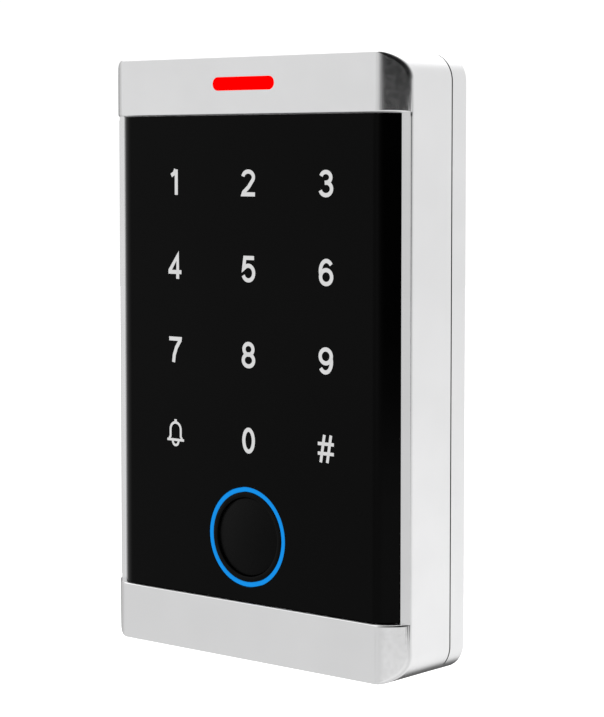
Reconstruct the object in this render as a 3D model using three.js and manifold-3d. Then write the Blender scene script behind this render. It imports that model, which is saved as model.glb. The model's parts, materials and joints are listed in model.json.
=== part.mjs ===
// A wall-mounted access terminal: metal front housing, black touch panel, round fingerprint sensor,
// status light, boards inside, and a back plate that the front hooks onto.
// Millimetres. X is to the right, Z is up, and the front faces -Y.
// The origin is the centre of the back face, which lies against the wall.
import * as THREE from 'three';
import { mergeVertices } from 'three/addons/utils/BufferGeometryUtils.js';
import Module from 'manifold-3d';

const wasm = await Module();
wasm.setup();

// Overall body
const height = 147;
const width = 94.8;
const depth = 26;
const cornerRadius = 6.7;
const cornerSegments = 16;
const wall = 2.4;
const coreX = 38;

// Seam between the front housing and the back plate
const plateDepth = 5.3;
const seamGap = 0.35;
const gasketInset = 0.4;
const gasketWidth = 1.4;
const gasketGroove = 1.2;

// Bars across the top and bottom of the front, and the facets on their ends
const barHeight = 14.1;
const facetWidth = 5.4;
const facetDepth = 5.3;

// Touch panel, which is narrower at the front than at the back
const panelRecess = 1.2;
const panelThickness = 3.4;
const panelFrontWidth = 81.4;
const panelBackWidth = 89.2;
const panelEdgeGap = 0.15;
const sealThickness = 0.4;
const sealGap = 0.05;
const sealInsetX = 0.6;
const sealInsetZ = 0.8;

// Metal strip beside the panel
const stripInnerDepth = 4.75;
const stripOuterDepth = 5.3;

// Fingerprint sensor
const sensorZ = -43.4;
const ringOuter = 12.15;
const ringInner = 11.2;
const padRadius = 9.6;
const padRecess = 0.6;
const sensorGap = 0.15;

// Status light
const lightZ = 66.8;
const lightWidth = 19.5;
const lightHeight = 3;
const lightGap = 0.15;

// Window behind the keys, and hole behind the sensor, in the floor of the housing
const windowHalf = 36;
const windowLow = -25;
const windowHigh = 55;
const sensorHole = 14.6;

// Boards
const boardThickness = 1.6;
const bossX = 41;
const bossZ = 52;
const bossRadius = 3;
const pilotRadius = 1;
const pilotDepth = 5;

// Hooks at the top of the back plate
const hookX = [-24, 24];
const hookHalf = 5;
const hookReach = 9.2;
const hookTop = 72;
const notchLow = 70;
const notchSideGap = 0.6;
const notchFrontGap = 0.5;
const notchTopGap = 0.4;
const notchDepth = 2.2;

// Case screw
const screwY = -10;
const screwRadius = 1.5;
const screwHeadRadius = 2.8;
const shankGap = 0.4;
const headGap = 0.7;
const padHalf = 8;
const lugHalf = 7;
const lugReach = 14.5;
const lugHeight = 5;

// Allowances: how far joined solids run into each other, how far a cutter runs past a face,
// and the air left between neighbours that touch in the real thing
const joinOverlap = 0.5;
const cutPast = 1;
const air = 0.1;

// Levels along Y, all measured forward from the wall
const frontY = -depth;
const seamY = -plateDepth - seamGap;
const panelFrontY = frontY + panelRecess;
const panelBackY = panelFrontY + panelThickness;
const floorY = panelBackY + sealThickness + 2 * sealGap;
const floorThickness = 2;
const floorBackY = floorY + floorThickness;
const touchBoardY = floorBackY + air;
const bossEndY = -12.2;
const mainBoardY = bossEndY + air;
const mainBoardBackY = mainBoardY + boardThickness;
const openingHalf = height / 2 - barHeight;
const topZ = height / 2;
const padHeight = 2;
const padTopZ = -topZ + wall + padHeight;
const counterboreDepth = 2.2;
const counterboreZ = -topZ + counterboreDepth;

const colours = {
  metal: { color: 0xd6d6d8, roughness: 0.35, metalness: 0.9 },
  blackGloss: { color: 0x0c0c0d, roughness: 0.08, metalness: 0 },
  blackMatte: { color: 0x1a1a1b, roughness: 0.6, metalness: 0 },
  rubber: { color: 0x101010, roughness: 0.9, metalness: 0 },
  red: { color: 0xff1010, roughness: 0.3, metalness: 0 },
  blue: { color: 0x1a91e6, roughness: 0.3, metalness: 0 },
  acrylic: { color: 0xe8ecef, roughness: 0.2, metalness: 0 },
  board: { color: 0x1d5c38, roughness: 0.5, metalness: 0 },
  film: { color: 0x202022, roughness: 0.5, metalness: 0 },
  steel: { color: 0x9a9a9c, roughness: 0.35, metalness: 1 },
  white: { color: 0xe6e4dc, roughness: 0.5, metalness: 0 },
  amber: { color: 0xb9722c, roughness: 0.5, metalness: 0 },
  aluminium: { color: 0xc2c4c6, roughness: 0.4, metalness: 0.9 },
};

const group = new THREE.Group();

// Sides of round holes and pins, and how much less than half its width a slot's end radius is
const boreSegments = 40;
const smallSegments = 16;
const ringSegments = 64;
const nearlyRound = 0.01;

// ---- Solids -------------------------------------------------------------

function solid(geometry) {
  const bare = geometry.index ? geometry.toNonIndexed() : geometry.clone();
  bare.deleteAttribute('normal');
  bare.deleteAttribute('uv');
  const merged = mergeVertices(bare, 1e-4);
  return new wasm.Manifold(new wasm.Mesh({
    numProp: 3,
    vertProperties: new Float32Array(merged.attributes.position.array),
    triVerts: new Uint32Array(merged.index.array),
  }));
}

function add(name, shape, finish) {
  const mesh = shape.getMesh();
  const geometry = new THREE.BufferGeometry();
  geometry.setAttribute('position', new THREE.BufferAttribute(mesh.vertProperties, 3));
  geometry.setIndex(new THREE.BufferAttribute(mesh.triVerts, 1));
  const part = new THREE.Mesh(geometry, new THREE.MeshStandardMaterial(colours[finish]));
  part.name = name;
  group.add(part);
}

// A box between two corners.
function box(low, high) {
  const size = high.map((value, i) => value - low[i]);
  const geometry = new THREE.BoxGeometry(...size);
  geometry.translate(...low.map((value, i) => value + size[i] / 2));
  return solid(geometry);
}

// An outline in X and Z, extruded along Y from one level to another.
function plate(shape, fromY, toY, curveSegments = 4) {
  const geometry = new THREE.ExtrudeGeometry(shape, {
    depth: toY - fromY, bevelEnabled: false, curveSegments,
  });
  geometry.rotateX(Math.PI / 2);
  geometry.translate(0, toY, 0);
  return solid(geometry);
}

// An outline in X and Y, extruded along Z from one level to another.
function column(points, fromZ, toZ) {
  const shape = new THREE.Shape(points.map(([x, y]) => new THREE.Vector2(x, y)));
  const geometry = new THREE.ExtrudeGeometry(shape, { depth: toZ - fromZ, bevelEnabled: false });
  geometry.translate(0, 0, fromZ);
  return solid(geometry);
}

// A cylinder along Y or Z, between two levels.
function pin(axis, radius, centre, from, to, segments = 24) {
  const geometry = new THREE.CylinderGeometry(radius, radius, to - from, segments);
  const middle = (from + to) / 2;
  if (axis === 'z') {
    geometry.rotateX(Math.PI / 2);
    geometry.translate(centre[0], centre[1], middle);
  } else {
    geometry.translate(centre[0], middle, centre[1]);
  }
  return solid(geometry);
}

function roundedRectangle(w, h, r, x = 0, z = 0) {
  const shape = new THREE.Shape();
  const [right, top] = [w / 2 - r, h / 2 - r];
  shape.absarc(x + right, z + top, r, 0, Math.PI / 2, false);
  shape.absarc(x - right, z + top, r, Math.PI / 2, Math.PI, false);
  shape.absarc(x - right, z - top, r, Math.PI, 1.5 * Math.PI, false);
  shape.absarc(x + right, z - top, r, 1.5 * Math.PI, 2 * Math.PI, false);
  return shape;
}

// A flat ring lying in an X-Z plane.
function ring(outer, inner, fromY, toY, segments = 48) {
  const disc = pin('y', outer, [0, sensorZ], fromY, toY, segments);
  return disc.subtract(pin('y', inner, [0, sensorZ], fromY - cutPast, toY + cutPast, segments));
}

// ---- Front housing ------------------------------------------------------

function facetCut(side) {
  const slope = facetDepth / facetWidth;
  const [inner, outer] = [width / 2 - facetWidth - cutPast, width / 2 + cutPast];
  return column([
    [side * inner, frontY - cutPast * slope],
    [side * outer, frontY + facetDepth + cutPast * slope],
    [side * outer, frontY - cutPast * slope],
  ], -topZ - cutPast, topZ + cutPast);
}

// The space that the panel and the strips beside it take out of the front.
function waistCut() {
  const inner = panelBackWidth / 2 + panelEdgeGap;
  const outer = width / 2;
  const slope = (stripOuterDepth - stripInnerDepth) / (outer - inner);
  const beyond = outer + cutPast;
  const half = [
    [beyond, frontY - cutPast],
    [beyond, frontY + stripOuterDepth + cutPast * slope],
    [inner, frontY + stripInnerDepth],
    [inner, floorY],
  ];
  const mirrored = half.map(([x, y]) => [-x, y]).reverse();
  return column([...half, ...mirrored], -openingHalf, openingHalf);
}

function frontHousing() {
  const inner = roundedRectangle(width - 2 * wall, height - 2 * wall, cornerRadius - wall);
  let body = plate(roundedRectangle(width, height, cornerRadius), frontY, seamY, cornerSegments);
  body = body.subtract(facetCut(1)).subtract(facetCut(-1)).subtract(waistCut());
  body = body.subtract(plate(inner, floorBackY, seamY + cutPast));

  // The bars are cored out from behind.
  for (const side of [1, -1]) {
    const edges = [side * (openingHalf + wall), side * (topZ - wall)].sort((a, b) => a - b);
    const core = box([-coreX, frontY + wall, edges[0]], [coreX, floorBackY + joinOverlap, edges[1]]);
    body = body.subtract(core);
  }

  // Slot for the status light, window behind the keys, and hole for the sensor.
  const slot = roundedRectangle(lightWidth + 2 * lightGap, lightHeight + 2 * lightGap,
    lightHeight / 2 + lightGap - nearlyRound, 0, lightZ);
  const [fromY, toY] = [floorY - cutPast, floorBackY + cutPast];
  body = body.subtract(plate(slot, frontY - cutPast, frontY + wall + cutPast));
  body = body.subtract(box([-windowHalf, fromY, windowLow], [windowHalf, toY, windowHigh]));
  body = body.subtract(pin('y', sensorHole, [0, sensorZ], fromY, toY, boreSegments));

  // Bosses for the main board.
  for (const [x, z] of corners(bossX, bossZ)) {
    const [pilotY, endY] = [bossEndY - pilotDepth, bossEndY + cutPast];
    body = body.add(pin('y', bossRadius, [x, z], floorBackY - joinOverlap, bossEndY));
    body = body.subtract(pin('y', pilotRadius, [x, z], pilotY, endY, smallSegments));
  }

  // Notches in the top wall that sit over the hooks of the back plate.
  for (const x of hookX) {
    const half = hookHalf + notchSideGap;
    const low = [x - half, -hookReach - notchFrontGap, notchLow];
    const high = [x + half, -hookReach + notchDepth, hookTop + notchTopGap];
    body = body.subtract(box(low, high));
  }

  // Pad in the bottom wall for the case screw, with a slot and counterbore open to the rear.
  const padLow = [-padHalf, floorBackY - joinOverlap, -topZ + wall - joinOverlap];
  body = body.add(box(padLow, [padHalf, seamY, padTopZ]));
  const steps = [
    [screwRadius + shankGap, padTopZ + cutPast],
    [screwHeadRadius + headGap, counterboreZ],
  ];
  for (const [radius, upTo] of steps) {
    const from = -topZ - cutPast;
    body = body.subtract(pin('z', radius, [0, screwY], from, upTo));
    body = body.subtract(box([-radius, screwY, from], [radius, seamY + cutPast, upTo]));
  }
  return body;
}

function corners(x, z) {
  return [[x, z], [-x, z], [-x, -z], [x, -z]];
}

add('front_housing', frontHousing(), 'metal');

// ---- Touch panel and what lies behind it --------------------------------

function touchPanel() {
  const [front, back] = [panelFrontWidth / 2, panelBackWidth / 2];
  const half = openingHalf - panelEdgeGap;
  const body = column([
    [-front, panelFrontY], [front, panelFrontY], [back, panelBackY], [-back, panelBackY],
  ], -half, half);
  const [from, to] = [panelFrontY - cutPast, panelBackY + cutPast];
  return body.subtract(pin('y', ringOuter + sensorGap, [0, sensorZ], from, to, ringSegments));
}

function panelSeal() {
  const [from, to] = [panelBackY + sealGap, floorY - sealGap];
  const [x, z] = [panelBackWidth / 2 - sealInsetX, openingHalf - sealInsetZ];
  const frame = box([-x, from, -z], [x, to, z]);
  const [below, above] = [from - cutPast, to + cutPast];
  const window = box([-windowHalf, below, windowLow], [windowHalf, above, windowHigh]);
  const hole = pin('y', sensorHole, [0, sensorZ], below, above, boreSegments);
  return frame.subtract(window).subtract(hole);
}

add('touch_panel', touchPanel(), 'blackGloss');
add('panel_seal', panelSeal(), 'blackMatte');

// Layers in the window behind the keys: a printed film, a light guide and the touch board.
const layerMargin = 1;
const filmFromY = panelBackY + air;
const filmToY = filmFromY + 0.3;
const touchBoardThickness = 1.2;
const touchBoardMargin = 1.5;

function layer(fromY, toY) {
  const half = windowHalf - layerMargin;
  return box([-half, fromY, windowLow + layerMargin], [half, toY, windowHigh - layerMargin]);
}

function touchBoard() {
  const half = windowHalf + touchBoardMargin;
  const low = [-half, touchBoardY, windowLow - touchBoardMargin];
  return box(low, [half, touchBoardY + touchBoardThickness, windowHigh + touchBoardMargin]);
}

add('legend_film', layer(filmFromY, filmToY), 'film');
add('backlight_guide', layer(filmToY + air, floorBackY), 'acrylic');
add('touch_board', touchBoard(), 'board');

// ---- Fingerprint sensor -------------------------------------------------

const earX = 17.5;
const earHole = 1.4;
const flangeSize = [43, 24];
const flangeCorner = 4;
const flangeY = floorBackY + air;
const carrierBackY = floorBackY + 3.2;
const carrierSkin = 1.4;
const carrierGap = 0.25;
const ribbonHatch = [6, 9];

function sensorCarrier() {
  const centre = [0, sensorZ];
  const tube = pin('y', sensorHole - 0.3, centre, panelBackY + 0.2, flangeY, boreSegments);
  const outline = roundedRectangle(...flangeSize, flangeCorner, 0, sensorZ);
  let body = tube.add(plate(outline, flangeY, carrierBackY));
  const [boreY, boreEndY] = [panelBackY - cutPast, carrierBackY - carrierSkin];
  body = body.subtract(pin('y', ringOuter + carrierGap, centre, boreY, boreEndY, boreSegments));

  // Hatch for the flat cable, and holes for the two screws.
  const backY = carrierBackY + cutPast;
  const [x, z] = ribbonHatch;
  body = body.subtract(box([-x, boreEndY - cutPast, sensorZ - z], [x, backY, sensorZ + z]));
  for (const side of [1, -1]) {
    const hole = pin('y', earHole, [side * earX, sensorZ], floorBackY - cutPast, backY, smallSegments);
    body = body.subtract(hole);
  }
  return body;
}

const bezelOuter = ringInner - sensorGap;
const bezelInner = padRadius + sensorGap;
const bezelRecess = 0.05;
const bezelShelf = 0.6;
const sensorBackY = floorBackY + 1.6;
const padBackY = panelFrontY + 3;
const shelfY = padBackY + 0.2;
const sensorBoardY = padBackY + 0.3;
const sensorBoardRadius = bezelInner - bezelShelf - 0.3;
const sensorBoardThickness = 1;

function sensorBezel() {
  const face = ring(bezelOuter, bezelInner, panelFrontY + bezelRecess, sensorBackY);
  return face.add(ring(bezelOuter, bezelInner - bezelShelf, shelfY, sensorBackY));
}

// A disc behind the sensor's opening.
function sensorDisc(radius, fromY, toY, segments) {
  return pin('y', radius, [0, sensorZ], fromY, toY, segments);
}

const sensorBoardBackY = sensorBoardY + sensorBoardThickness;
const sensorBoard = sensorDisc(sensorBoardRadius, sensorBoardY, sensorBoardBackY, 32);
add('ring_light_guide', ring(ringOuter, ringInner, panelFrontY, sensorBackY, ringSegments), 'blue');
add('sensor_bezel', sensorBezel(), 'blackMatte');
add('sensor_pad', sensorDisc(padRadius, panelFrontY + padRecess, padBackY, 48), 'blackGloss');
add('sensor_board', sensorBoard, 'board');
add('sensor_carrier', sensorCarrier(), 'blackMatte');

// Pan-head screw along Y with a cross recess, its head towards the wall.
const screwHeadHeight = 1.5;
const recessFloor = 0.8;
const recessLong = 1.2;
const recessShort = 0.4;

function boardScrew(x, z, headY, length, radius) {
  const backY = headY + screwHeadHeight;
  let body = pin('y', radius, [x, z], headY - length, headY + joinOverlap, 12);
  body = body.add(pin('y', 2 * radius, [x, z], headY, backY, 20));
  for (const [w, h] of [[recessShort, recessLong], [recessLong, recessShort]]) {
    const low = [x - w, headY + recessFloor, z - h];
    body = body.subtract(box(low, [x + w, backY + cutPast, z + h]));
  }
  return body;
}

const sensorScrewLength = 3;
const sensorScrewRadius = 1.1;

[1, -1].forEach((side, i) => {
  const headY = carrierBackY + air;
  const screw = boardScrew(side * earX, sensorZ, headY, sensorScrewLength, sensorScrewRadius);
  add(`sensor_screw_${i + 1}`, screw, 'steel');
});

// Flat cable from the sensor board back to the main board.
const ribbonHalf = 3;
const ribbonThickness = 0.3;
const ribbonLow = sensorZ - 2;
const ribbonGap = 0.2;
const ribbonStart = [-ribbonHalf, sensorBoardBackY + ribbonGap, ribbonLow];
const ribbonEnd = [ribbonHalf, mainBoardY - ribbonGap, ribbonLow + ribbonThickness];
add('sensor_ribbon', box(ribbonStart, ribbonEnd), 'amber');

// ---- Status light -------------------------------------------------------

const footMargin = [3, 2];
const footFromY = frontY + wall + 0.2;
const footToY = frontY + wall + 1.6;

function lightPipe() {
  const face = roundedRectangle(lightWidth, lightHeight, lightHeight / 2 - nearlyRound, 0, lightZ);
  const [w, h] = [lightWidth + footMargin[0], lightHeight + footMargin[1]];
  const foot = roundedRectangle(w, h, 1, 0, lightZ);
  return plate(face, frontY + air, footFromY + joinOverlap).add(plate(foot, footFromY, footToY));
}

const indicatorY = frontY + wall + 2.9;
const indicatorHalf = [16, 3.5];
const indicatorThickness = 1;
const ledX = [-5, 5];
const ledHalf = [1.6, 1.4];
const ledHeight = 1.05;

function indicatorBoard() {
  const [x, z] = indicatorHalf;
  return box([-x, indicatorY, lightZ - z], [x, indicatorY + indicatorThickness, lightZ + z]);
}

function statusLed(x) {
  const [w, h] = ledHalf;
  const toY = indicatorY - air / 2;
  return box([x - w, toY - ledHeight, lightZ - h], [x + w, toY, lightZ + h]);
}

add('status_light_pipe', lightPipe(), 'red');
add('indicator_board', indicatorBoard(), 'board');
ledX.forEach((x, i) => add(`status_led_${i + 1}`, statusLed(x), 'white'));

// ---- Main board ---------------------------------------------------------

const boardSize = [88, 118];
const boardCorner = 3;
const boardHole = 1.4;
const boardScrewLength = 4.5;
const boardScrewRadius = 0.9;
const behind = mainBoardBackY + air;

function mainBoard() {
  let body = plate(roundedRectangle(...boardSize, boardCorner), mainBoardY, mainBoardBackY);
  const [from, to] = [mainBoardY - cutPast, mainBoardBackY + cutPast];
  for (const place of corners(bossX, bossZ)) {
    body = body.subtract(pin('y', boardHole, place, from, to, smallSegments));
  }
  return body;
}

add('main_board', mainBoard(), 'board');
corners(bossX, bossZ).forEach(([x, z], i) => {
  const screw = boardScrew(x, z, behind, boardScrewLength, boardScrewRadius);
  add(`board_screw_${i + 1}`, screw, 'steel');
});

// Something that stands on the wall side of the board: centre, width, height and thickness.
function onBoard(x, z, w, h, tall) {
  return box([x - w / 2, behind, z - h / 2], [x + w / 2, behind + tall, z + h / 2]);
}

// Something between a level and the front side of the board, from one height to another.
function beforeBoard(half, fromY, fromZ, toZ) {
  return box([-half, fromY, fromZ], [half, mainBoardY - air, toZ]);
}

const chipThickness = 1.4;
const touchBoardBackY = touchBoardY + touchBoardThickness;
const capacitorPlace = [27, 2];
const capacitorSize = { radius: 4, tall: 5.4 };
const buzzerPlace = [-27, 26];
const buzzerSize = { radius: 6, tall: 5, hole: 1.1, holeDepth: 2 };

add('processor_chip', beforeBoard(7, mainBoardY - air - chipThickness, 16, 30), 'blackMatte');
add('board_connector', beforeBoard(10, touchBoardBackY + air, 44, 49), 'white');
add('relay', onBoard(27, 22, 10, 20, 5.2), 'blackMatte');

function capacitor() {
  const { radius, tall } = capacitorSize;
  return pin('y', radius, capacitorPlace, behind, behind + tall, 28);
}

function buzzer() {
  const { radius, tall, hole, holeDepth } = buzzerSize;
  const top = behind + tall;
  const can = pin('y', radius, buzzerPlace, behind, top, 32);
  return can.subtract(pin('y', hole, buzzerPlace, top - holeDepth, top + cutPast, smallSegments));
}

add('capacitor', capacitor(), 'aluminium');

add('buzzer', buzzer(), 'blackMatte');

// Shrouded header that the wiring harness plugs into, open towards the wall.
const headerZ = -22;
const headerSize = [26, 7];
const headerTall = 4.6;
const headerWell = [12, 2.6];
const headerFloor = 1.2;
const contactCount = 8;
const contactPitch = 2.5;
const contactHalf = 0.35;
const contactTall = 3.8;

function harnessHeader() {
  let body = onBoard(0, headerZ, ...headerSize, headerTall);
  const [w, h] = headerWell;
  const wellLow = [-w, behind + headerFloor, headerZ - h];
  body = body.subtract(box(wellLow, [w, behind + headerTall + cutPast, headerZ + h]));
  for (let i = 0; i < contactCount; i += 1) {
    const x = contactPitch * (i - (contactCount - 1) / 2);
    const low = [x - contactHalf, behind + headerFloor - joinOverlap, headerZ - contactHalf];
    const high = [x + contactHalf, behind + contactTall, headerZ + contactHalf];
    body = body.add(box(low, high));
  }
  return body;
}

add('harness_header', harnessHeader(), 'white');

// ---- Tamper switch ------------------------------------------------------

const tamper = [-28, -12];
const tamperWidth = 6.4;
const tamperTall = 2.6;
const tamperFloor = 0.6;
const plungerRadius = 1.3;
const plungerGap = 0.15;
const plungerY = behind + tamperFloor + 0.3;
const plungerTip = -4.4;

function tamperBody() {
  const body = onBoard(...tamper, tamperWidth, tamperWidth, tamperTall);
  const [from, to] = [behind + tamperFloor, behind + tamperTall + cutPast];
  return body.subtract(pin('y', plungerRadius + plungerGap, tamper, from, to));
}

add('tamper_switch_body', tamperBody(), 'blackMatte');
add('tamper_plunger', pin('y', plungerRadius, tamper, plungerY, plungerTip), 'white');

// ---- Back plate ---------------------------------------------------------

const plateSkin = 2.2;
const rimWidth = 4.2;
const outletHalf = [14, 9];
const outletZ = -22;
const outletCorner = 3;
const collarMargin = 2.5;
const collarHeight = 1.6;
const trayCorner = 3.7;
const stopHalf = 4;
const lipThickness = 1.2;
const hookThickness = 1.6;
const lugGap = 0.4;
const wallSlots = corners(26, 46);
const slotWidth = 5.2;
const slotLength = 12;

// The cable outlet's outline, grown by a margin on every side.
function outletShape(margin, radius) {
  const [w, h] = outletHalf;
  return roundedRectangle(2 * (w + margin), 2 * (h + margin), radius, 0, outletZ);
}

function backPlate() {
  let body = plate(roundedRectangle(width, height, cornerRadius), -plateDepth, 0, cornerSegments);
  const tray = roundedRectangle(width - 2 * rimWidth, height - 2 * rimWidth, trayCorner);
  const openY = -plateDepth - cutPast;
  const rootY = -plateSkin + joinOverlap;
  body = body.subtract(plate(tray, openY, -plateSkin));
  body = body.subtract(gasketRing(gasketInset, gasketWidth + air, openY, -plateDepth + gasketGroove));

  // Cable outlet with a low collar, and slots for four wall screws.
  const collarShape = outletShape(collarMargin, outletCorner + 1.5);
  body = body.add(plate(collarShape, -plateSkin - collarHeight, rootY));
  body = body.subtract(plate(outletShape(0, outletCorner), openY, cutPast));
  for (const [x, z] of wallSlots) {
    const slot = roundedRectangle(slotLength, slotWidth, slotWidth / 2 - nearlyRound, x, z);
    body = body.subtract(plate(slot, openY, cutPast));
  }

  // Pad that presses the tamper plunger.
  const [x, z] = tamper;
  const stopLow = [x - stopHalf, plungerTip + air, z - stopHalf];
  body = body.add(box(stopLow, [x + stopHalf, rootY, z + stopHalf]));

  // Hooks at the top, each an arm forward with a lip up from its end.
  const armLow = notchLow - lipThickness;
  const armHigh = armLow + hookThickness;
  for (const centre of hookX) {
    const [left, right] = [centre - hookHalf, centre + hookHalf];
    const armEndY = -plateDepth + joinOverlap;
    body = body.add(box([left, -hookReach, armLow], [right, armEndY, armHigh]));
    body = body.add(box([left, -hookReach, notchLow], [right, -hookReach + lipThickness, hookTop]));
  }

  // Lug at the bottom, with the hole that the case screw threads into.
  const lugLow = padTopZ + lugGap;
  const lugTop = lugLow + lugHeight;
  body = body.add(box([-lugHalf, -lugReach, lugLow], [lugHalf, rootY, lugTop]));
  const [from, to] = [lugLow - cutPast, lugTop + cutPast];
  return body.subtract(pin('z', screwRadius + air, [0, screwY], from, to));
}

function gasketRing(inset, across, fromY, toY) {
  const outer = roundedRectangle(width - 2 * inset, height - 2 * inset, cornerRadius - inset);
  const cut = inset + across;
  const inner = roundedRectangle(width - 2 * cut, height - 2 * cut, cornerRadius - cut);
  return plate(outer, fromY, toY).subtract(plate(inner, fromY - cutPast, toY + cutPast));
}

// A sleeve through the outlet with a lip over the end of the collar.
const sleeveGap = 0.15;
const sleeveWall = 2;
const grommetLip = { margin: 1.5, corner: 4, thickness: 1.2 };
const grommetFromY = -plateSkin - collarHeight - air - grommetLip.thickness;

function cableGrommet() {
  const sleeve = plate(outletShape(-sleeveGap, outletCorner - 0.2), grommetFromY - air, -air);
  const lipShape = outletShape(grommetLip.margin, grommetLip.corner);
  const lip = plate(lipShape, grommetFromY, grommetFromY + grommetLip.thickness);
  const way = plate(outletShape(-sleeveWall, 2), grommetFromY - cutPast, cutPast);
  return sleeve.add(lip).subtract(way);
}

const gasketFrom = seamY + air / 2;
const gasketTo = -plateDepth + gasketGroove - air / 2;

add('back_plate', backPlate(), 'metal');
add('gasket', gasketRing(gasketInset + air / 2, gasketWidth, gasketFrom, gasketTo), 'rubber');
add('cable_grommet', cableGrommet(), 'rubber');

// ---- Case screw ---------------------------------------------------------

const washerThickness = 0.5;
const washerTop = counterboreZ - air / 2;
const washerLow = washerTop - washerThickness;
const headTop = washerLow - air / 2;
const socketRadius = 1.25;
const socketDepth = 1.2;
const shankTop = padTopZ + 7;

// Screw with a hexagon socket in its head.
function caseScrew() {
  const centre = [0, screwY];
  const head = pin('z', screwHeadRadius, centre, -topZ + air, headTop, 28);
  const shank = pin('z', screwRadius, centre, headTop - joinOverlap, shankTop, 20);
  const socket = pin('z', socketRadius, centre, -topZ - cutPast, -topZ + socketDepth, 6);
  return head.add(shank).subtract(socket);
}

function caseWasher() {
  const centre = [0, screwY];
  const disc = pin('z', screwHeadRadius + 0.2, centre, washerLow, washerTop, 28);
  return disc.subtract(pin('z', screwRadius + 0.15, centre, -topZ, 0, 20));
}

add('case_screw', caseScrew(), 'steel');
add('case_screw_washer', caseWasher(), 'steel');

export default group;
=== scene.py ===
"""Looks of the fingerprint access terminal, built on the CAD frame. Metres; the front faces -Y."""
import json
import math

import bmesh
import bpy
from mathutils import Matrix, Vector


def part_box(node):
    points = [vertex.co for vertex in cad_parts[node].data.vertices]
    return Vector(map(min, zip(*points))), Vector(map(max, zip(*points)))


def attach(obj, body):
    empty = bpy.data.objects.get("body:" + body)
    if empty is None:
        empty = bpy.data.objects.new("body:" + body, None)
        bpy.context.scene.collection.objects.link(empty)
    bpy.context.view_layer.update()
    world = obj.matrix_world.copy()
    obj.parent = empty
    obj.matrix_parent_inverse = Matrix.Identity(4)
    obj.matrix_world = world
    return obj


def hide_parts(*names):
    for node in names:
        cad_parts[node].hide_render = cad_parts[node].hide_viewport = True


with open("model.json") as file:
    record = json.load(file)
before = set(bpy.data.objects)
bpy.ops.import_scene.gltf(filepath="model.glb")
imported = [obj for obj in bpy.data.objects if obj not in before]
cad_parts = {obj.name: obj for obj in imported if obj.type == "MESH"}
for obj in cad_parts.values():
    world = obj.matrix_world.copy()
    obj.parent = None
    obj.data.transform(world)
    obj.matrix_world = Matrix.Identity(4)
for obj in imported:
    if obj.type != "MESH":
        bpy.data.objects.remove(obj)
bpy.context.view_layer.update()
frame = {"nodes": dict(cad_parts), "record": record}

MM = 0.001

# ---- Main dimensions, read from the CAD frame ---------------------------------------------------

housing_low, housing_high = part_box("front_housing")
panel_low, panel_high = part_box("touch_panel")

HALF_WIDTH = housing_high.x
HALF_HEIGHT = housing_high.z
FRONT_Y = housing_low.y
SEAM_Y = housing_high.y
PANEL_Y = panel_low.y
PANEL_HALF_HEIGHT = panel_high.z
PANEL_EDGE_GAP = 0.15 * MM
OPENING_HALF = PANEL_HALF_HEIGHT + PANEL_EDGE_GAP

CORNER_RADIUS = 6.7 * MM
FACET_WIDTH = 5.4 * MM
FACET_DEPTH = 5.3 * MM
CREASE_BLEND = 2.2 * MM
EDGE_FILLET = 0.5 * MM
FACET_FILLET = 1.0 * MM
LEDGE_FILLET = 0.45 * MM
SEAM_FILLET = 0.06 * MM
PLATE_FILLET = 0.12 * MM
SKIN = 0.02 * MM

PANEL_FRONT_HALF = 40.7 * MM
PANEL_BLEND = 1.8 * MM
STRIP_INNER_Y = FRONT_Y + 4.75 * MM
STRIP_INNER_X = 44.75 * MM
STRIP_FILLET = 0.6 * MM

# How finely curves are stepped, how far a cutter runs past a face, and when vertices count as one
OUTLINE_STEPS = 20
FILLET_STEPS = 7
CREASE_STEPS = 6
STRIP_STEPS = 8
REAR_SWEEP = 80
PAST = 1 * MM
WELD = 0.001 * MM
SMOOTH_ANGLE = 32
FLAT_ANGLE = 0.4
NORMAL_WEIGHT = 80
NODE_FLAT_ANGLE = 0.5
NODE_EDGE_ANGLE = 35
PLATE_EDGE_ANGLE = 50
NOISE_MIDDLE = (0.3, 0.7)

# ---- Mesh helpers -------------------------------------------------------------------------------


def mesh_object(name, points, faces):
    """A new object in the scene, its faces turned outwards."""
    mesh = bpy.data.meshes.new(name)
    mesh.from_pydata([tuple(p) for p in points], [], faces)
    mesh.update()
    made = bpy.data.objects.new(name, mesh)
    bpy.context.scene.collection.objects.link(made)
    outward(made)
    return made


def outward(thing):
    """Turns every face of a closed mesh to look outwards."""
    work = bmesh.new()
    work.from_mesh(thing.data)
    bmesh.ops.recalc_face_normals(work, faces=work.faces)
    work.to_mesh(thing.data)
    work.free()


def smooth(thing, angle=SMOOTH_ANGLE):
    """Smooth shading that keeps edges sharper than the angle."""
    for face in thing.data.polygons:
        face.use_smooth = True
    thing.data.set_sharp_from_angle(angle=math.radians(angle))


def applied(thing):
    """Replaces an object's mesh by what its modifiers make of it."""
    bpy.context.view_layer.update()
    graph = bpy.context.evaluated_depsgraph_get()
    result = bpy.data.meshes.new_from_object(thing.evaluated_get(graph))
    thing.modifiers.clear()
    thing.data = result
    return thing


def copy_of(node, name):
    """A separate, welded copy of a CAD node's mesh."""
    source = frame["nodes"][node]
    work = bmesh.new()
    work.from_mesh(source.data)
    bmesh.ops.remove_doubles(work, verts=work.verts, dist=WELD)
    mesh = bpy.data.meshes.new(name)
    work.to_mesh(mesh)
    work.free()
    mesh.materials.clear()
    made = bpy.data.objects.new(name, mesh)
    bpy.context.scene.collection.objects.link(made)
    return made


def crowned(x, edge, slope, blend):
    """Depth behind the front of a flat face that turns into a slope at the edge, with a smooth crease."""
    beyond = abs(x) - edge
    if beyond <= -blend:
        return 0.0
    if beyond >= blend:
        return slope * beyond
    return slope * (beyond + blend) ** 2 / (4 * blend)


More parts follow.
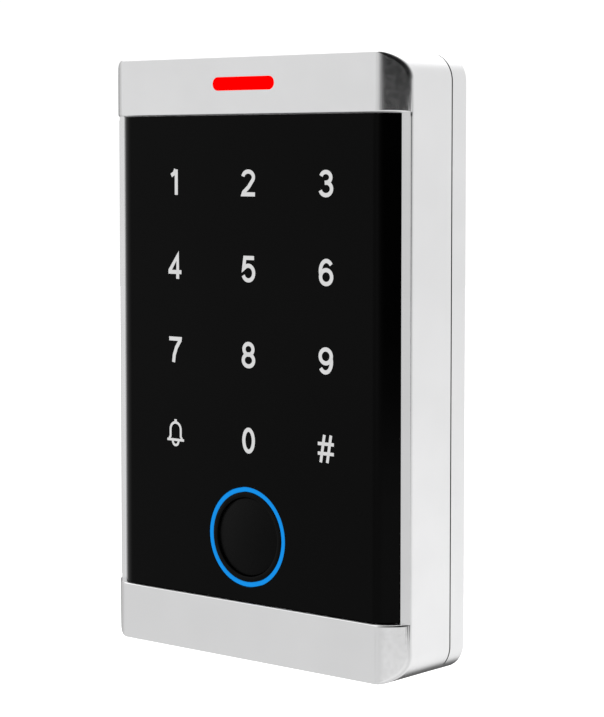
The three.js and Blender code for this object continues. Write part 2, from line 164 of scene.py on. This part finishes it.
def creased(reach, crease, blend):
    """Places in X from edge to edge, close together where a crease on each side blends."""
    spots = [-reach, reach]
    for step in range(-CREASE_STEPS, CREASE_STEPS + 1):
        for sign in (1, -1):
            spots.append(sign * (crease + blend * step / CREASE_STEPS))
    return sorted(spots)


def housing_front(x):
    crease = HALF_WIDTH - FACET_WIDTH
    return FRONT_Y + SKIN + crowned(x, crease, FACET_DEPTH / FACET_WIDTH, CREASE_BLEND)


def panel_front(x):
    slope = (panel_high.y - PANEL_Y) / (panel_high.x - PANEL_FRONT_HALF)
    return PANEL_Y + SKIN + crowned(x, PANEL_FRONT_HALF, slope, PANEL_BLEND)


def outline(half_width, half_height, radius, steps):
    """Points and outward normals of a rounded rectangle: its top half, then its bottom half."""
    top = []
    for side in (1, -1):
        arc = []
        for step in range(steps + 1):
            angle = math.pi / 2 * step / steps
            normal = (side * math.cos(angle), math.sin(angle))
            arc.append((side * (half_width - radius) + radius * normal[0],
                        half_height - radius + radius * normal[1], *normal))
        top += arc if side > 0 else arc[::-1]
    bottom = [(x, -z, nx, -nz) for x, z, nx, nz in reversed(top)]
    return top, bottom


def envelope(name, half_width, half_height, radius, front, rear, front_fillet, rear_fillet):
    """A closed body with a rounded outline and edges, whose front follows front(x)."""
    top, bottom = outline(half_width, half_height, radius, OUTLINE_STEPS)
    loop = top + bottom
    turns = FILLET_STEPS
    rings = [[(x, rear + PAST, z) for x, z, nx, nz in inset(loop, rear_fillet)]]
    for turn in range(turns):
        angle = math.radians(REAR_SWEEP) * (1 - turn / (turns - 1))
        shrink = rear_fillet * (1 - math.cos(angle))
        level = rear - rear_fillet * (1 - math.sin(angle))
        rings.append([(x, level, z) for x, z, nx, nz in inset(loop, shrink)])
    for turn in range(turns + 1):
        angle = math.pi / 2 * turn / turns
        ring = []
        for x, z, nx, nz in loop:
            fillet = front_fillet(x)
            shrink = fillet * (1 - math.cos(angle))
            px, pz = x - nx * shrink, z - nz * shrink
            ring.append((px, front(px) + fillet * (1 - math.sin(angle)), pz))
        rings.append(ring)
    points = [p for ring in rings for p in ring]
    count = len(loop)
    faces = []
    for k in range(len(rings) - 1):
        for i in range(count):
            j = (i + 1) % count
            faces.append((k * count + i, k * count + j, (k + 1) * count + j, (k + 1) * count + i))
    half = len(top)
    for base in (0, (len(rings) - 1) * count):
        for i in range(half - 1):
            across = (base + i, base + i + 1, base + count - 2 - i, base + count - 1 - i)
            faces.append(across)
    return mesh_object(name, points, faces)


def inset(loop, amount):
    """The outline moved inwards along its normals."""
    return [(x - nx * amount, z - nz * amount, nx, nz) for x, z, nx, nz in loop]


def prism(name, sections):
    """A closed body through matching sections, each a list of points."""
    count = len(sections[0])
    points = [p for section in sections for p in section]
    faces = []
    for k in range(len(sections) - 1):
        for i in range(count):
            j = (i + 1) % count
            faces.append((k * count + i, k * count + j, (k + 1) * count + j, (k + 1) * count + i))
    faces.append(tuple(range(count)))
    faces.append(tuple(range(len(points) - count, len(points))))
    return mesh_object(name, points, faces)


def carve(thing, tools):
    """Cuts a body with (operation, tool) pairs, and removes the tools."""
    for operation, tool in tools:
        cut = thing.modifiers.new("cut", "BOOLEAN")
        cut.operation = operation
        cut.object = tool
        cut.solver = "EXACT"
    applied(thing)
    for operation, tool in tools:
        bpy.data.objects.remove(tool)
    merge_flats(thing)
    return thing


def merge_flats(thing):
    """Joins faces that lie in one plane."""
    work = bmesh.new()
    work.from_mesh(thing.data)
    bmesh.ops.remove_doubles(work, verts=work.verts, dist=WELD)
    limit = math.radians(FLAT_ANGLE)
    bmesh.ops.dissolve_limit(work, angle_limit=limit, verts=work.verts, edges=work.edges)
    work.to_mesh(thing.data)
    work.free()


def rounded_edges(thing, width, segments, angle):
    """A bevel modifier for the edges that turn by more than angle degrees."""
    bevel = thing.modifiers.new("edges", "BEVEL")
    bevel.width = width
    bevel.segments = segments
    bevel.limit_method = "ANGLE"
    bevel.angle_limit = math.radians(angle)
    return bevel


def finish_piece(thing, body, node, look):
    """Shades a new piece, gives it its look, hangs it on its body and hides the CAD node it takes the
    place of.
    """
    smooth(thing)
    weighted = thing.modifiers.new("even_normals", "WEIGHTED_NORMAL")
    weighted.keep_sharp = True
    weighted.weight = NORMAL_WEIGHT
    thing.data.materials.clear()
    thing.data.materials.append(look)
    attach(thing, body)
    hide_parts(node)


# ---- Materials ----------------------------------------------------------------------------------


class Look:
    """A procedural material: a Principled shader with noise helpers in object coordinates."""

    def __init__(self, name, colour, roughness, metallic=0.0, specular=0.5):
        self.made = bpy.data.materials.new(name)
        self.made.use_nodes = True
        self.nodes = self.made.node_tree.nodes
        self.links = self.made.node_tree.links
        self.shader = self.nodes["Principled BSDF"]
        self.shader.inputs["Base Color"].default_value = (*colour, 1)
        self.shader.inputs["Roughness"].default_value = roughness
        self.shader.inputs["Metallic"].default_value = metallic
        self.shader.inputs["Specular IOR Level"].default_value = specular
        self.where = self.nodes.new("ShaderNodeTexCoord").outputs["Object"]

    def stretched(self, scale):
        """Coordinates scaled by a different amount each way."""
        mapping = self.nodes.new("ShaderNodeMapping")
        mapping.inputs["Scale"].default_value = scale
        self.links.new(self.where, mapping.inputs["Vector"])
        return mapping.outputs["Vector"]

    def noise(self, per_metre, detail=3.0, where=None):
        texture = self.nodes.new("ShaderNodeTexNoise")
        texture.inputs["Scale"].default_value = per_metre
        texture.inputs["Detail"].default_value = detail
        self.links.new(where or self.where, texture.inputs["Vector"])
        return texture.outputs["Fac"]

    def cells(self, per_metre, where=None):
        texture = self.nodes.new("ShaderNodeTexVoronoi")
        texture.inputs["Scale"].default_value = per_metre
        self.links.new(where or self.where, texture.inputs["Vector"])
        return texture.outputs["Distance"]

    def ramp(self, value, stops):
        """Colours along a value, as (position, colour) stops."""
        node = self.nodes.new("ShaderNodeValToRGB")
        elements = node.color_ramp.elements
        while len(elements) < len(stops):
            elements.new(0.5)
        for element, (position, colour) in zip(elements, stops):
            element.position = position
            element.color = (*colour, 1)
        self.links.new(value, node.inputs["Fac"])
        return node.outputs["Color"]

    def spread(self, value, low, high):
        """A noise value mapped to a range, from the middle stretch where most noise lies."""
        node = self.nodes.new("ShaderNodeMapRange")
        node.inputs["From Min"].default_value = NOISE_MIDDLE[0]
        node.inputs["From Max"].default_value = NOISE_MIDDLE[1]
        node.inputs["To Min"].default_value = low
        node.inputs["To Max"].default_value = high
        self.links.new(value, node.inputs["Value"])
        return node.outputs["Result"]

    def colour(self, value):
        self.links.new(value, self.shader.inputs["Base Color"])
        return self

    def roughness(self, value):
        self.links.new(value, self.shader.inputs["Roughness"])
        return self

    def bump(self, value, strength, depth):
        node = self.nodes.new("ShaderNodeBump")
        node.inputs["Strength"].default_value = strength
        node.inputs["Distance"].default_value = depth
        self.links.new(value, node.inputs["Height"])
        earlier = self.shader.inputs["Normal"].links
        if earlier:
            self.links.new(earlier[0].from_socket, node.inputs["Normal"])
        self.links.new(node.outputs["Normal"], self.shader.inputs["Normal"])
        return self

    def glow(self, colour, strength):
        self.shader.inputs["Emission Color"].default_value = (*colour, 1)
        self.shader.inputs["Emission Strength"].default_value = strength
        return self


UNLIT_SHARE = 0.2


def shades(colour, low, high):
    """Two stops around a colour, for a faint variation."""
    dark = tuple(c * low for c in colour)
    light = tuple(min(1.0, c * high) for c in colour)
    return [(0.35, dark), (0.65, light)]


def satin_metal(name, colour, roughness, grain=0.12):
    """Bead-blasted metal, with grain as the strength of its fine bumps."""
    look = Look(name, colour, roughness, metallic=1.0)
    look.colour(look.ramp(look.noise(60), shades(colour, 0.985, 1.015)))
    look.roughness(look.spread(look.noise(900, 4), roughness - 0.03, roughness + 0.03))
    look.bump(look.noise(9000, 2), grain, 0.02 * MM)
    return look.made


def moulded(name, colour, roughness, grain=0.25, specular=0.4):
    look = Look(name, colour, roughness, specular=specular)
    look.colour(look.ramp(look.noise(250), shades(colour, 0.85, 1.15)))
    look.roughness(look.spread(look.noise(1400), roughness - 0.08, roughness + 0.08))
    look.bump(look.cells(5000), grain, 0.03 * MM)
    return look.made


def gloss_black(name, level, roughness, specular):
    look = Look(name, (level,) * 3, roughness, specular=specular)
    look.colour(look.ramp(look.noise(35, 2), shades((level,) * 3, 0.8, 1.2)))
    look.roughness(look.spread(look.noise(120, 5), roughness * 0.8, roughness * 1.25))
    look.bump(look.noise(25, 1), 0.02, 0.05 * MM)
    return look.made


def lit(name, colour, strength, specular):
    """A diffusing piece lit from behind."""
    unlit = tuple(c * UNLIT_SHARE for c in colour)
    look = Look(name, unlit, 0.3, specular=specular)
    look.glow(colour, strength)
    look.colour(look.ramp(look.noise(500), shades(unlit, 0.9, 1.1)))
    look.roughness(look.spread(look.noise(800), 0.25, 0.35))
    return look.made


def solder_mask(name):
    """Green board lacquer with small gold pads."""
    look = Look(name, (0.02, 0.12, 0.05), 0.35)
    tracks = look.cells(450, where=look.stretched((1.0, 1.0, 0.35)))
    gold = (0.75, 0.62, 0.3)
    green = [(0.11, (0.015, 0.1, 0.045)), (0.5, (0.02, 0.15, 0.06))]
    look.colour(look.ramp(tracks, [(0.0, gold), (0.09, gold)] + green))
    look.roughness(look.spread(look.noise(700), 0.28, 0.42))
    look.bump(tracks, 0.3, 0.03 * MM)
    return look.made


def plated_steel(name):
    steel = (0.55, 0.55, 0.56)
    look = Look(name, steel, 0.3, metallic=1.0)
    look.colour(look.ramp(look.noise(400), shades(steel, 0.85, 1.15)))
    look.roughness(look.spread(look.noise(2500), 0.24, 0.4))
    look.bump(look.noise(3000, where=look.stretched((1, 1, 12))), 0.15, 0.02 * MM)
    return look.made


LOOKS = {
    "housing_metal": satin_metal("satin_silver", (0.80, 0.80, 0.805), 0.21),
    "plate_metal": satin_metal("satin_silver_plate", (0.79, 0.79, 0.795), 0.21, 0.01),
    "panel_black": gloss_black("black_glass", 0.0005, 0.09, 0.055),
    "sensor_black": gloss_black("sensor_window", 0.0022, 0.28, 0.05),
    "bezel_black": gloss_black("sensor_bezel_black", 0.001, 0.3, 0.06),
    "light_red": lit("lit_red", (1.0, 0.0, 0.0), 1.1, 0.0),
    "ring_blue": lit("lit_blue", (0.008, 0.235, 0.68), 1.0, 0.0),
    "acrylic_clear": moulded("frosted_acrylic", (0.75, 0.78, 0.8), 0.35, 0.1),
    "film_black": moulded("printed_film", (0.012, 0.012, 0.012), 0.45, 0.1),
    "foam_black": moulded("closed_cell_foam", (0.012, 0.012, 0.012), 0.9, 0.9, 0.2),
    "rubber_black": moulded("rubber", (0.004, 0.004, 0.004), 0.9, 0.3, 0.08),
    "plastic_black": moulded("black_plastic", (0.014, 0.014, 0.015), 0.5),
    "plastic_white": moulded("white_plastic", (0.75, 0.73, 0.66), 0.5),
    "circuit_board": solder_mask("solder_mask"),
    "ribbon_amber": moulded("polyimide_film", (0.42, 0.18, 0.03), 0.3, 0.1),
    "can_aluminium": satin_metal("can_metal", (0.7, 0.7, 0.72), 0.3),
    "screw_steel": plated_steel("zinc_plated_steel"),
}
PRINT_WHITE = lit("lit_legend", (0.57, 0.57, 0.57), 1.0, 0.05)

# ---- Front housing ------------------------------------------------------------------------------


def edge_fillet(x):
    """The outline's fillet, which grows from the flat front to the facet."""
    share = (abs(x) - (HALF_WIDTH - FACET_WIDTH - CREASE_BLEND)) / FACET_WIDTH
    share = min(1.0, max(0.0, share))
    return EDGE_FILLET + (FACET_FILLET - EDGE_FILLET) * share * share * (3 - 2 * share)


def ledge_cutter(side):
    """Rounds the edge of a bar that faces the panel."""
    sections = []
    for x in creased(HALF_WIDTH + PAST, HALF_WIDTH - FACET_WIDTH, CREASE_BLEND):
        base = housing_front(x)
        profile = [(-2 * PAST, -PAST), (LEDGE_FILLET, -PAST)]
        for turn in range(FILLET_STEPS + 1):
            angle = math.pi / 2 * turn / FILLET_STEPS
            forward = LEDGE_FILLET * (1 - math.sin(angle))
            profile.append((forward, LEDGE_FILLET * (1 - math.cos(angle)) + SKIN))
        profile.append((-2 * PAST, LEDGE_FILLET + SKIN))
        sections.append([(x, base + dy, side * (OPENING_HALF + dz)) for dy, dz in profile])
    return prism("ledge_cutter", sections)


def strip_cutter(side):
    """Rounds the outer edge of the metal strip beside the panel."""
    edge_x, edge_y = HALF_WIDTH - SKIN, FRONT_Y + FACET_DEPTH + SKIN
    run = Vector((edge_x - STRIP_INNER_X, edge_y - STRIP_INNER_Y)).normalized()
    start = Vector((edge_x, edge_y)) - run * STRIP_FILLET
    end = Vector((edge_x, edge_y + STRIP_FILLET))
    corner = Vector((edge_x, edge_y))
    curve = []
    for step in range(STRIP_STEPS + 1):
        t = step / STRIP_STEPS
        curve.append(start * (1 - t) ** 2 + corner * 2 * t * (1 - t) + end * t * t)
    beyond = HALF_WIDTH + PAST
    outer = [Vector((beyond, end.y)), Vector((beyond, FRONT_Y)), Vector((start.x, FRONT_Y))]
    reach = OPENING_HALF - SKIN
    sections = [[(side * p.x, p.y, z) for p in curve + outer] for z in (-reach, reach)]
    return prism("strip_cutter", sections)


shell = copy_of("front_housing", "front_shell")
shell_form = envelope("shell_form", HALF_WIDTH - SKIN, HALF_HEIGHT - SKIN, CORNER_RADIUS,
                      housing_front, SEAM_Y, edge_fillet, SEAM_FILLET)
carve(shell, [("INTERSECT", shell_form),
              ("DIFFERENCE", ledge_cutter(1)), ("DIFFERENCE", ledge_cutter(-1)),
              ("DIFFERENCE", strip_cutter(1)), ("DIFFERENCE", strip_cutter(-1))])
finish_piece(shell, "front_unit", "front_housing", LOOKS["housing_metal"])

# ---- Back plate ---------------------------------------------------------------------------------

rear = carve(copy_of("back_plate", "rear_shell"), [])
rounded_edges(rear, PLATE_FILLET, 3, PLATE_EDGE_ANGLE)
applied(rear)
finish_piece(rear, "wall_side", "back_plate", LOOKS["plate_metal"])

# ---- Touch panel --------------------------------------------------------------------------------


def glass_form():
    """A bar along Z whose section is the panel's, with soft creases."""
    half = panel_high.x - SKIN
    section = [(x, panel_front(x)) for x in creased(half, PANEL_FRONT_HALF, PANEL_BLEND)]
    section += [(half, panel_high.y + PAST), (-half, panel_high.y + PAST)]
    reach = PANEL_HALF_HEIGHT + PAST
    return prism("glass_form", [[(x, y, z) for x, y in section] for z in (-reach, reach)])


glass = carve(copy_of("touch_panel", "touch_glass"), [("INTERSECT", glass_form())])
finish_piece(glass, "front_unit", "touch_panel", LOOKS["panel_black"])

# ---- Carried-over CAD nodes ---------------------------------------------------------------------

# Bevel widths in millimetres
BEVELS = {"ring_light_guide": 0.08, "sensor_bezel": 0.1, "sensor_pad": 0.25,
          "status_light_pipe": 0.12, "case_screw": 0.15}
DEFAULT_BEVEL = 0.12
REPLACED = ("front_housing", "touch_panel", "back_plate")


def soften(node, width):
    """Bevels a CAD node's edges with modifiers, which leave its own mesh as it is."""
    thing = frame["nodes"][node]
    weld = thing.modifiers.new("weld", "WELD")
    weld.merge_threshold = WELD
    flat = thing.modifiers.new("flat", "DECIMATE")
    flat.decimate_type = "DISSOLVE"
    flat.angle_limit = math.radians(NODE_FLAT_ANGLE)
    rounded_edges(thing, width * MM, 2, NODE_EDGE_ANGLE).harden_normals = True
    smooth(thing)


slots = {part["node"]: part["material_slot"] for part in frame["record"]["subparts"]}
for node, thing in frame["nodes"].items():
    if node in REPLACED:
        continue
    soften(node, BEVELS.get(node, DEFAULT_BEVEL))
    thing.data.materials.clear()
    thing.data.materials.append(LOOKS[slots[node]])

# ---- Legends ------------------------------------------------------------------------------------

KEY_PITCH = (24.4 * MM, 20.85 * MM)
KEY_CENTRE_X = 0.7 * MM
KEY_TOP_Z = 42.9 * MM
LEGEND_THICK = 0.03 * MM
LEGEND_LIFT = 0.02 * MM
KEYS = ["1", "2", "3", "4", "5", "6", "7", "8", "9", "bell", "0", "hash"]
COLUMNS = 3
STROKE = 1.0 * MM
DIGIT_SCALE = 0.94


def legend(name, shape, x, z):
    """Puts a flat shape, drawn in X and Z about its own centre, on the panel's front."""
    shape.data.transform(shape.matrix_world)
    shape.location = (0, 0, 0)
    for vertex in shape.data.vertices:
        vertex.co = (x + vertex.co.x, PANEL_Y - LEGEND_LIFT + vertex.co.y, z + vertex.co.z)
    outward(shape)
    shape.data.materials.clear()
    shape.data.materials.append(PRINT_WHITE)
    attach(shape, "front_unit")


def ribbon(name, path, closed=False, width=STROKE):
    """A flat line of one width along points in X and Z, with mitred turns."""
    count = len(path)
    sides = []
    for i in range(count):
        here = Vector(path[i])
        before = Vector(path[i - 1]) if closed or i else None
        after = Vector(path[(i + 1) % count]) if closed or i < count - 1 else None
        runs = [(b - a).normalized() for a, b in ((before, here), (here, after)) if a and b]
        along = sum(runs, Vector((0, 0))).normalized()
        across = Vector((-along.y, along.x))
        spread = width / 2 / max(0.4, abs(across.dot(Vector((-runs[0].y, runs[0].x)))))
        sides.append((here + across * spread, here - across * spread))
    points, faces = [], []
    for left, right in sides:
        for y in (0, -LEGEND_THICK):
            points += [(left.x, y, left.y), (right.x, y, right.y)]
    last = count if closed else count - 1
    for i in range(last):
        a, b = 4 * i, 4 * ((i + 1) % count)
        faces += [(a, a + 1, b + 1, b), (a + 2, b + 2, b + 3, a + 3), (a, b, b + 2, a + 2),
                  (a + 1, a + 3, b + 3, b + 1)]
    if not closed:
        end = 4 * (count - 1)
        faces += [(0, 2, 3, 1), (end, end + 1, end + 3, end + 2)]
    return mesh_object(name, points, faces)


def arc(cx, cz, rx, rz, start, stop, steps=14):
    """Points along an ellipse about (cx, cz), between two angles in degrees."""
    angles = [math.radians(start + (stop - start) * i / steps) for i in range(steps + 1)]
    return [(cx + rx * math.cos(angle), cz + rz * math.sin(angle)) for angle in angles]


def joined(name, parts):
    """One object from several, which it replaces."""
    work = bmesh.new()
    for part in parts:
        work.from_mesh(part.data)
        bpy.data.objects.remove(part)
    mesh = bpy.data.meshes.new(name)
    work.to_mesh(mesh)
    work.free()
    made = bpy.data.objects.new(name, mesh)
    bpy.context.scene.collection.objects.link(made)
    return made


# Each numeral's strokes: closed loops, and lines through points and arcs, in millimetres
NUMERALS = {
    "0": [("loop", (0, 0, 1.65, 2.85, 0, 360))],
    "1": [("line", [(-1.25, 1.75), (-0.2, 2.35), (0.35, 3.35)]), ("line", [(0.55, 3.35), (0.55, -3.35)])],
    "2": [("line", ("arc", (0, 1.45, 1.8, 1.45, 172, -28)), [(0.1, -1.1), (-1.6, -2.45), (-1.8, -2.95),
                                                             (2.3, -2.95)])],
    "3": [("line", ("arc", (-0.05, 1.55, 1.6, 1.35, 165, -78)), [(-0.4, 0.2)]),
          ("line", [(-0.4, 0.2)], ("arc", (-0.05, -1.3, 1.85, 1.6, 78, -165)))],
    "4": [("line", [(0.95, -3.35), (0.95, 2.75), (-1.85, -1.15), (-1.85, -1.55), (2.3, -1.55)])],
    "5": [("line", [(1.95, 2.9), (-1.2, 2.9), (-1.6, 0.15)], ("arc", (0.0, -1.0, 1.85, 1.9, 135, -160)))],
    "6": [("loop", (0.05, -1.15, 1.8, 1.75, 0, 360)), ("line", ("arc", (0.15, 0.3, 1.95, 2.6, 38, 205)))],
    "7": [("line", [(-2.2, 2.9), (1.8, 2.9), (1.75, 2.5)], [(0.4, 0.6), (-0.4, -1.4), (-0.65, -3.35)])],
    "8": [("loop", (0, 1.5, 1.55, 1.4, 0, 360)), ("loop", (0, -1.35, 1.8, 1.55, 0, 360))],
    "9": [("loop", (-0.05, 1.15, 1.8, 1.75, 0, 360)),
          ("line", ("arc", (-0.15, -0.3, 1.95, 2.6, 218, 385)))],
}


def digit(character):
    """A numeral as strokes of one width, sized in millimetres about its centre."""
    strokes = []
    for kind, *runs in NUMERALS[character]:
        path = []
        for run in runs:
            if kind == "loop":
                path += arc(*run, steps=28)[:-1]
            elif run[0] == "arc":
                path += arc(*run[1], steps=20)
            else:
                path += run
        path = [(x * DIGIT_SCALE * MM, z * DIGIT_SCALE * MM) for x, z in path]
        strokes.append(ribbon("stroke", path, closed=kind == "loop"))
    return joined("legend_" + character, strokes)


def bell():
    """An outlined bell with a foot line and a half-round clapper."""
    u = 1 * MM
    flare = [(-2.2 * u, -1.55 * u), (-1.75 * u, -0.9 * u)]
    body = flare + arc(0, 0.85 * u, 1.75 * u, 1.75 * u, 180, 0) + [(-x, z) for x, z in reversed(flare)]
    line = 0.62 * u
    return joined("legend_bell", [
        ribbon("bell_body", body, width=line),
        ribbon("bell_foot", [(-2.85 * u, -1.75 * u), (2.85 * u, -1.75 * u)], width=line),
        ribbon("bell_crown", [(0, 2.6 * u), (0, 3.4 * u)], width=1.3 * line),
        ribbon("bell_clapper", arc(0, -1.9 * u, 1.0 * u, 1.2 * u, 180, 360), width=line)])


def hash_sign():
    """Two leaning lines across two level ones."""
    u = 1 * MM
    lines = []
    for x in (-1.0, 1.0):
        lines.append([((x - 0.55) * u, -3.3 * u), ((x + 0.55) * u, 3.3 * u)])
    for z in (-1.15, 1.15):
        lines.append([(-2.45 * u, z * u), (2.45 * u, z * u)])
    return joined("legend_hash", [ribbon("hash_line", line, width=0.8 * u) for line in lines])


SIGNS = {"bell": bell, "hash": hash_sign}

for index, key in enumerate(KEYS):
    column, row = index % COLUMNS - 1, index // COLUMNS
    shape = SIGNS[key]() if key in SIGNS else digit(key)
    legend(key, shape, KEY_CENTRE_X + column * KEY_PITCH[0], KEY_TOP_Z - row * KEY_PITCH[1])

# ---- Studio -------------------------------------------------------------------------------------


def toward(azimuth, elevation):
    """The direction from the object, with azimuth 0 in front and 90 to the right."""
    a, e = math.radians(azimuth), math.radians(elevation)
    return Vector((math.sin(a) * math.cos(e), -math.cos(a) * math.cos(e), math.sin(e)))


world = bpy.data.worlds.new("studio")
bpy.context.scene.world = world
world.use_nodes = True
sky = world.node_tree
sky.nodes.clear()
direction = sky.nodes.new("ShaderNodeTexCoord").outputs["Generated"]


def sky_math(kind, a, b):
    """A sum, difference or product of two values, each a number or a socket."""
    node = sky.nodes.new("ShaderNodeMath")
    node.operation = kind
    for socket, value in zip(node.inputs, (a, b)):
        if isinstance(value, (int, float)):
            socket.default_value = value
        else:
            sky.links.new(value, socket)
    return node.outputs[0]


def sky_fade(value, low, high):
    """0 below low, 1 above high, and smooth between them."""
    node = sky.nodes.new("ShaderNodeMapRange")
    node.interpolation_type = "SMOOTHSTEP"
    node.inputs["From Min"].default_value = low
    node.inputs["From Max"].default_value = high
    sky.links.new(value, node.inputs["Value"])
    return node.outputs["Result"]


def sky_patch(azimuth, elevation, inner, outer):
    """1 within inner degrees of a direction, fading to 0 at outer degrees."""
    dot = sky.nodes.new("ShaderNodeVectorMath")
    dot.operation = "DOT_PRODUCT"
    sky.links.new(direction, dot.inputs[0])
    dot.inputs[1].default_value = toward(azimuth, elevation)
    return sky_fade(dot.outputs["Value"], math.cos(math.radians(outer)), math.cos(math.radians(inner)))


def sky_mix(share, a, b):
    """a where share is 0, b where it is 1."""
    return sky_math("ADD", sky_math("MULTIPLY", sky_math("SUBTRACT", 1.0, share), a),
                    sky_math("MULTIPLY", share, b))


def patched(level, patches):
    """The light level with patches laid over it, each taking over where it lies."""
    for *place, patch_level in patches:
        level = sky_mix(sky_patch(*place), level, patch_level)
    return level


# Patches of the sky: azimuth, elevation, inner and outer degrees, and light level.
# What the upper right corner, the upper side wall and the upper right facet reflect.
UPPER_PATCHES = [(185, 50, 20, 60, 1.8), (140, 5, 20, 60, 0.92), (52, 24, 30, 62, 0.01)]
# What the lower side wall, the lower right facet and the lower right corner reflect.
LOWER_PATCHES = [(140, -14, 18, 50, 1.08), (50, -26, 18, 40, 0.98), (208, -30, 6, 30, 0.12)]
# What the right strip reflects, then the panel's left bevel and the rounding of the left facets.
LEVEL_PATCHES = [(-20, -2, 4, 16, 0.7), (-110, -3, 12, 40, 0.62), (-126, -3, 6, 20, 0.15)]
HORIZON_LEVEL = 0.87
ZENITH_LEVEL = 1.6
LOWER_LEVEL = 0.80
SEEN_LEVEL = 1.05

height_in_sky = sky.nodes.new("ShaderNodeSeparateXYZ")
sky.links.new(direction, height_in_sky.inputs[0])
rise = height_in_sky.outputs["Z"]
upper = patched(sky_mix(sky_fade(rise, 0.3, 0.9), HORIZON_LEVEL, ZENITH_LEVEL), UPPER_PATCHES)
lower = patched(LOWER_LEVEL, LOWER_PATCHES)
light_level = patched(sky_mix(sky_fade(rise, -0.16, -0.08), lower, upper), LEVEL_PATCHES)
seen = sky.nodes.new("ShaderNodeLightPath").outputs["Is Camera Ray"]
emission = sky.nodes.new("ShaderNodeBackground")
emission.inputs["Color"].default_value = (1, 1, 1, 1)
sky.links.new(sky_mix(seen, light_level, SEEN_LEVEL), emission.inputs["Strength"])
sky_output = sky.nodes.new("ShaderNodeOutputWorld")
sky.links.new(emission.outputs[0], sky_output.inputs[0])

FLOOR_DROP = 80 * MM
FLOOR_RADIUS = 3.0
FLOOR_SIDES = 64
PAPER_SHADE = 0.6
PAPER_GLOW = 0.85

floor_z = -HALF_HEIGHT - FLOOR_DROP
turns = [2 * math.pi * i / FLOOR_SIDES for i in range(FLOOR_SIDES)]
rim = [(FLOOR_RADIUS * math.cos(turn), FLOOR_RADIUS * math.sin(turn), floor_z) for turn in turns]
floor = mesh_object("studio_floor", rim, [tuple(range(FLOOR_SIDES))])
if floor.data.polygons[0].normal.z < 0:
    floor.data.flip_normals()
paper = bpy.data.materials.new("studio_paper")
paper.use_nodes = True
paper_shader = paper.node_tree.nodes["Principled BSDF"]
paper_shader.inputs["Base Color"].default_value = (PAPER_SHADE, PAPER_SHADE, PAPER_SHADE, 1)
paper_shader.inputs["Roughness"].default_value = 1.0
paper_shader.inputs["Specular IOR Level"].default_value = 0.0
paper_shader.inputs["Emission Color"].default_value = (1, 1, 1, 1)
paper_shader.inputs["Emission Strength"].default_value = PAPER_GLOW

# The floor shows only from above, so that the terminal can be seen from below too.
paper_nodes, paper_links = paper.node_tree.nodes, paper.node_tree.links
one_sided = paper_nodes.new("ShaderNodeMixShader")
facing = paper_nodes.new("ShaderNodeNewGeometry")
clear = paper_nodes.new("ShaderNodeBsdfTransparent")
paper_links.new(facing.outputs["Backfacing"], one_sided.inputs[0])
paper_links.new(paper_shader.outputs[0], one_sided.inputs[1])
paper_links.new(clear.outputs[0], one_sided.inputs[2])
paper_links.new(one_sided.outputs[0], paper_nodes["Material Output"].inputs["Surface"])
floor.data.materials.append(paper)
floor.visible_glossy = False

# ---- Camera -------------------------------------------------------------------------------------

CAMERA_AZIMUTH = 40.34
CAMERA_ELEVATION = 3.73
CAMERA_DISTANCE = 547.3 * MM
AIM_OFFSET = (14.27 * MM, 13.49 * MM)
CAMERA_LENS = 113.45
CAMERA_SHIFT = -0.0753
SENSOR_WIDTH = 36
CLIP_START = 0.01

back = toward(CAMERA_AZIMUTH, CAMERA_ELEVATION)
turned = math.radians(CAMERA_AZIMUTH)
right = Vector((math.cos(turned), math.sin(turned), 0))
up = back.cross(right)
aim = Vector((0, FRONT_Y, 0)) + right * AIM_OFFSET[0] + up * AIM_OFFSET[1]
camera = bpy.data.objects.new("camera", bpy.data.cameras.new("camera"))
bpy.context.scene.collection.objects.link(camera)
camera.data.sensor_width = SENSOR_WIDTH
camera.data.lens = CAMERA_LENS
camera.data.shift_y = CAMERA_SHIFT
camera.data.clip_start = CLIP_START
camera.location = aim + back * CAMERA_DISTANCE
camera.rotation_mode = "QUATERNION"
camera.rotation_quaternion = (-back).to_track_quat("-Z", "Y")
bpy.context.scene.camera = camera
bpy.context.scene.view_settings.view_transform = "Standard"
